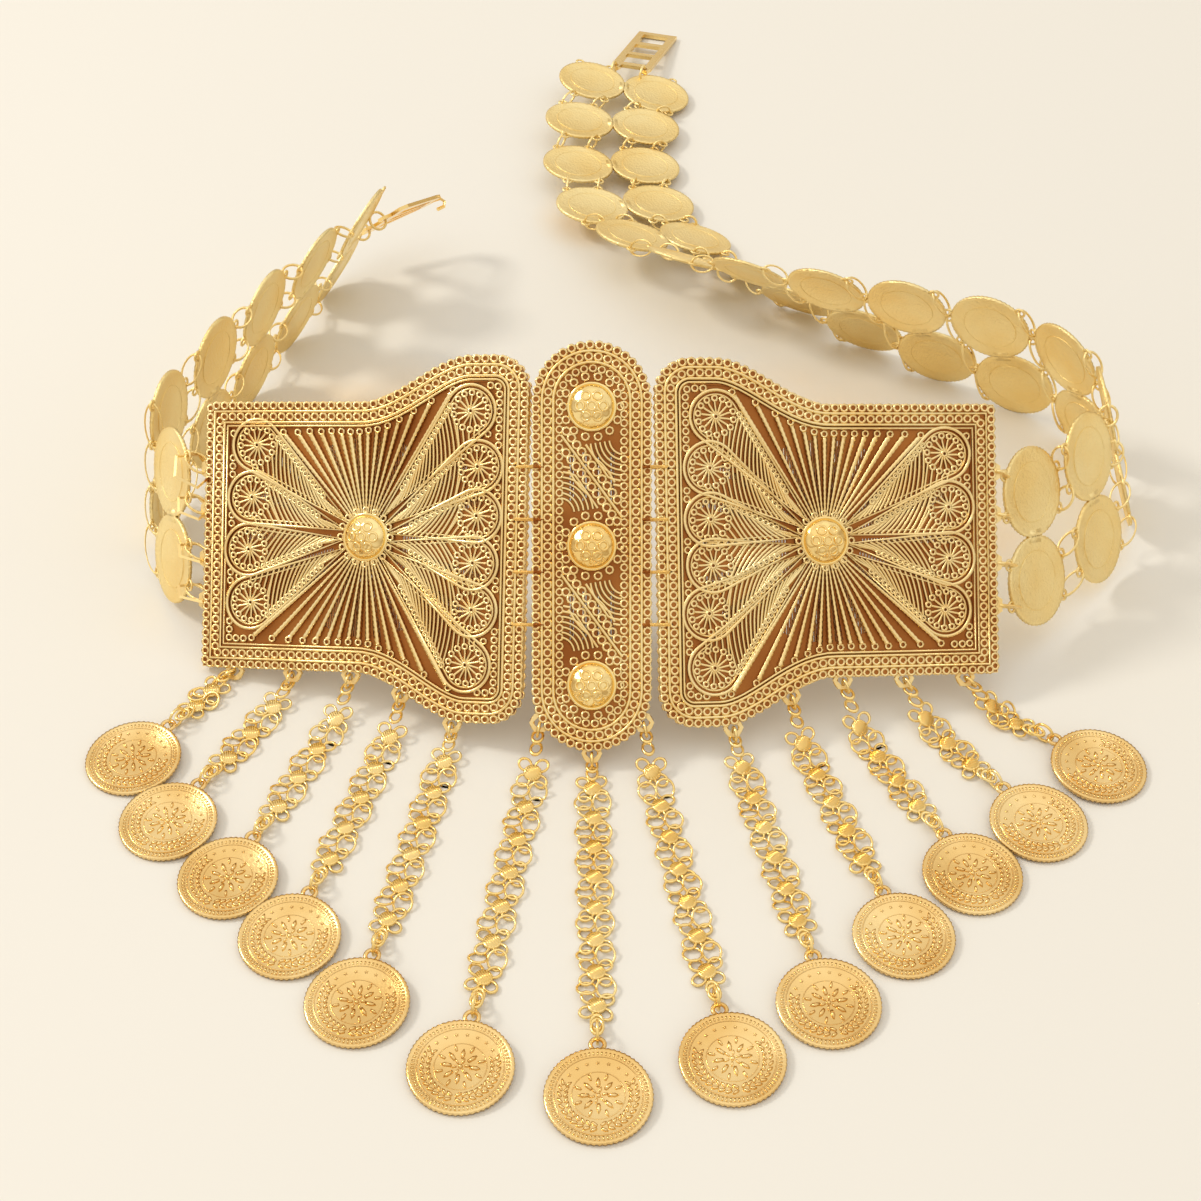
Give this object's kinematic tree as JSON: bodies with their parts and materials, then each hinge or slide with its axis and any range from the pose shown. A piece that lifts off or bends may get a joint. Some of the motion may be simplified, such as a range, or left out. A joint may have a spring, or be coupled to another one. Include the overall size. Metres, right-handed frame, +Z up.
{
  "type": "coin waist chain",
  "caption": "Gold coin belt lying open: three filigree plates with domed bosses, pendant chains ending in coins, and a band of paired coin links with a hook and ladder clasp.",
  "frame": {"origin": "centre of the footprint at floor level", "axes": "+Y from the hanging coins at the front to the ladder clasp at the far end, the longest extent; +Z up, the shortest extent; +X to the right seen from the front"},
  "size_m": [0.2606, 0.4576, 0.0744],
  "materials": {
    "filigree_gold": "polished gold plate on wire filigree, darker in the recesses",
    "boss_gold": "polished gold plate, dimpled",
    "link_gold": "satin gold plate with a fine sandy grain",
    "chain_gold": "bright gold plate on wire",
    "pendant_gold": "bright struck gold plate",
    "clasp_gold": "satin gold plate"
  },
  "bodies": {
    "belt": {"centre_plate": "filigree_gold", "left_plate": "filigree_gold", "right_plate": "filigree_gold", "boss_centre_1": "boss_gold", "boss_centre_2": "boss_gold", "boss_centre_3": "boss_gold", "boss_left": "boss_gold", "boss_right": "boss_gold", "band_left_01": "link_gold", "band_left_02": "link_gold", "band_left_03": "link_gold", "band_left_04": "link_gold", "band_left_05": "link_gold", "band_left_06": "link_gold", "band_right_01": "link_gold", "band_right_02": "link_gold", "band_right_03": "link_gold", "band_right_04": "link_gold", "band_right_05": "link_gold", "band_right_06": "link_gold", "band_right_07": "link_gold", "band_right_08": "link_gold", "band_right_09": "link_gold", "band_right_10": "link_gold", "band_right_11": "link_gold", "band_right_12": "link_gold", "band_right_13": "link_gold", "band_right_14": "link_gold", "chain_01": "chain_gold", "chain_02": "chain_gold", "chain_03": "chain_gold", "chain_04": "chain_gold", "chain_05": "chain_gold", "chain_06": "chain_gold", "chain_07": "chain_gold", "chain_08": "chain_gold", "chain_09": "chain_gold", "chain_10": "chain_gold", "chain_11": "chain_gold", "chain_12": "chain_gold", "chain_13": "chain_gold"},
    "coin_01_pendant": {"coin_01": "pendant_gold"},
    "coin_02_pendant": {"coin_02": "pendant_gold"},
    "coin_03_pendant": {"coin_03": "pendant_gold"},
    "coin_04_pendant": {"coin_04": "pendant_gold"},
    "coin_05_pendant": {"coin_05": "pendant_gold"},
    "coin_06_pendant": {"coin_06": "pendant_gold"},
    "coin_07_pendant": {"coin_07": "pendant_gold"},
    "coin_08_pendant": {"coin_08": "pendant_gold"},
    "coin_09_pendant": {"coin_09": "pendant_gold"},
    "coin_10_pendant": {"coin_10": "pendant_gold"},
    "coin_11_pendant": {"coin_11": "pendant_gold"},
    "coin_12_pendant": {"coin_12": "pendant_gold"},
    "coin_13_pendant": {"coin_13": "pendant_gold"},
    "ladder": {"ladder_clasp": "clasp_gold"},
    "hook": {"hook_clasp": "clasp_gold"}
  },
  "joints": [
    {"name": "coin_01_swing", "type": "hinge", "parent": "belt", "child": "coin_01_pendant", "pos_m": [-0.11023, -0.11199, 0.00272], "axis": [-0.8207, 0.5714, 0], "range_deg": [0, 80]},
    {"name": "coin_02_swing", "type": "hinge", "parent": "belt", "child": "coin_02_pendant", "pos_m": [-0.10096, -0.13076, 0.00272], "axis": [-0.8838, 0.4678, 0], "range_deg": [0, 80]},
    {"name": "coin_03_swing", "type": "hinge", "parent": "belt", "child": "coin_03_pendant", "pos_m": [-0.0871, -0.14676, 0.00272], "axis": [-0.9316, 0.3634, 0], "range_deg": [0, 80]},
    {"name": "coin_04_swing", "type": "hinge", "parent": "belt", "child": "coin_04_pendant", "pos_m": [-0.07332, -0.16271, 0.00272], "axis": [-0.9618, 0.2738, 0], "range_deg": [0, 80]},
    {"name": "coin_05_swing", "type": "hinge", "parent": "belt", "child": "coin_05_pendant", "pos_m": [-0.05872, -0.18005, 0.00272], "axis": [-0.9799, 0.1993, 0], "range_deg": [0, 80]},
    {"name": "coin_06_swing", "type": "hinge", "parent": "belt", "child": "coin_06_pendant", "pos_m": [-0.03728, -0.19623, 0.00272], "axis": [-0.988, 0.1544, 0], "range_deg": [0, 80]},
    {"name": "coin_07_swing", "type": "hinge", "parent": "belt", "child": "coin_07_pendant", "pos_m": [-0.01211, -0.20305, 0.00272], "axis": [-0.9999, -0.0172, 0], "range_deg": [0, 80]},
    {"name": "coin_08_swing", "type": "hinge", "parent": "belt", "child": "coin_08_pendant", "pos_m": [0.01242, -0.1943, 0.00272], "axis": [-0.9828, -0.1847, 0], "range_deg": [0, 80]},
    {"name": "coin_09_swing", "type": "hinge", "parent": "belt", "child": "coin_09_pendant", "pos_m": [0.03243, -0.18028, 0.00272], "axis": [-0.9775, -0.2109, 0], "range_deg": [0, 80]},
    {"name": "coin_10_swing", "type": "hinge", "parent": "belt", "child": "coin_10_pendant", "pos_m": [0.04846, -0.16262, 0.00272], "axis": [-0.9549, -0.2969, 0], "range_deg": [0, 80]},
    {"name": "coin_11_swing", "type": "hinge", "parent": "belt", "child": "coin_11_pendant", "pos_m": [0.06319, -0.14599, 0.00272], "axis": [-0.9026, -0.4305, 0], "range_deg": [0, 80]},
    {"name": "coin_12_swing", "type": "hinge", "parent": "belt", "child": "coin_12_pendant", "pos_m": [0.07782, -0.13202, 0.00272], "axis": [-0.8256, -0.5643, 0], "range_deg": [0, 80]},
    {"name": "coin_13_swing", "type": "hinge", "parent": "belt", "child": "coin_13_pendant", "pos_m": [0.09115, -0.1171, 0.00272], "axis": [-0.6438, -0.7652, 0], "range_deg": [0, 80]},
    {"name": "ladder_swing", "type": "hinge", "parent": "belt", "child": "ladder", "pos_m": [-0.00224, 0.19172, 0.00594], "axis": [0.9563, -0.2924, 0], "range_deg": [0, 80]},
    {"name": "hook_swing", "type": "hinge", "parent": "belt", "child": "hook", "pos_m": [-0.0783, 0.0732, 0.02005], "axis": [0.55, -0.5, 0.669], "range_deg": [0, 40]}
  ]
}
